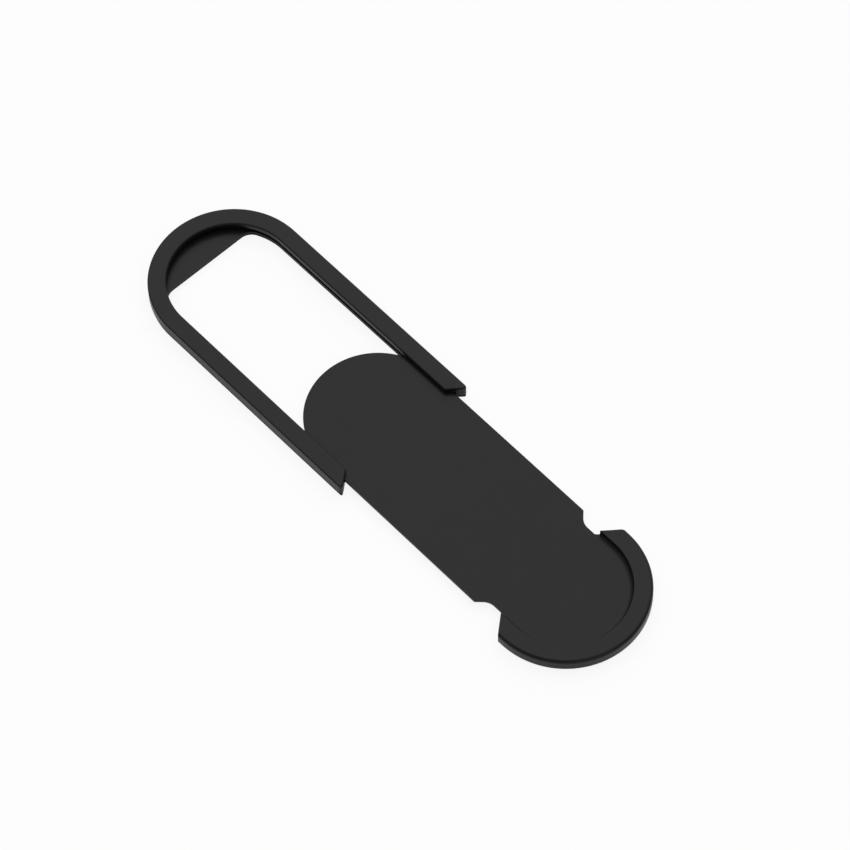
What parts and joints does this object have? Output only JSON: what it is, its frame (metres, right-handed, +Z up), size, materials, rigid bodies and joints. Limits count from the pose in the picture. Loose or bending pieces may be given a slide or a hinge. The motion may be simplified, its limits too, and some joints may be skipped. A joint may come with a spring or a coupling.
{
  "type": "webcam cover slider",
  "caption": "Thin matte black stick-on webcam cover: a U-shaped channel frame round a lens window, with a flat slide that shuts it and ends in a raised crescent grip.",
  "frame": {"origin": "under the middle of the fully open cover, on the face that sticks down", "axes": "+X along the slide's travel, out of the frame's open mouth; +Y across the rails; +Z up, away from the face that sticks down"},
  "size_m": [0.0348, 0.009, 0.0009],
  "materials": {
    "frame_plastic": "matte black, fine moulded grain",
    "slide_plastic": "matte black, fine moulded grain",
    "adhesive": "black double-sided adhesive film, slightly tacky"
  },
  "bodies": {
    "base": {"frame": "frame_plastic", "adhesive_pad": "adhesive"},
    "shutter": {"slide": "slide_plastic"}
  },
  "joints": [
    {"name": "shutter_slide", "type": "slide", "parent": "base", "child": "shutter", "axis": [1, 0, 0], "range_m": [-0.0115, 0]}
  ]
}
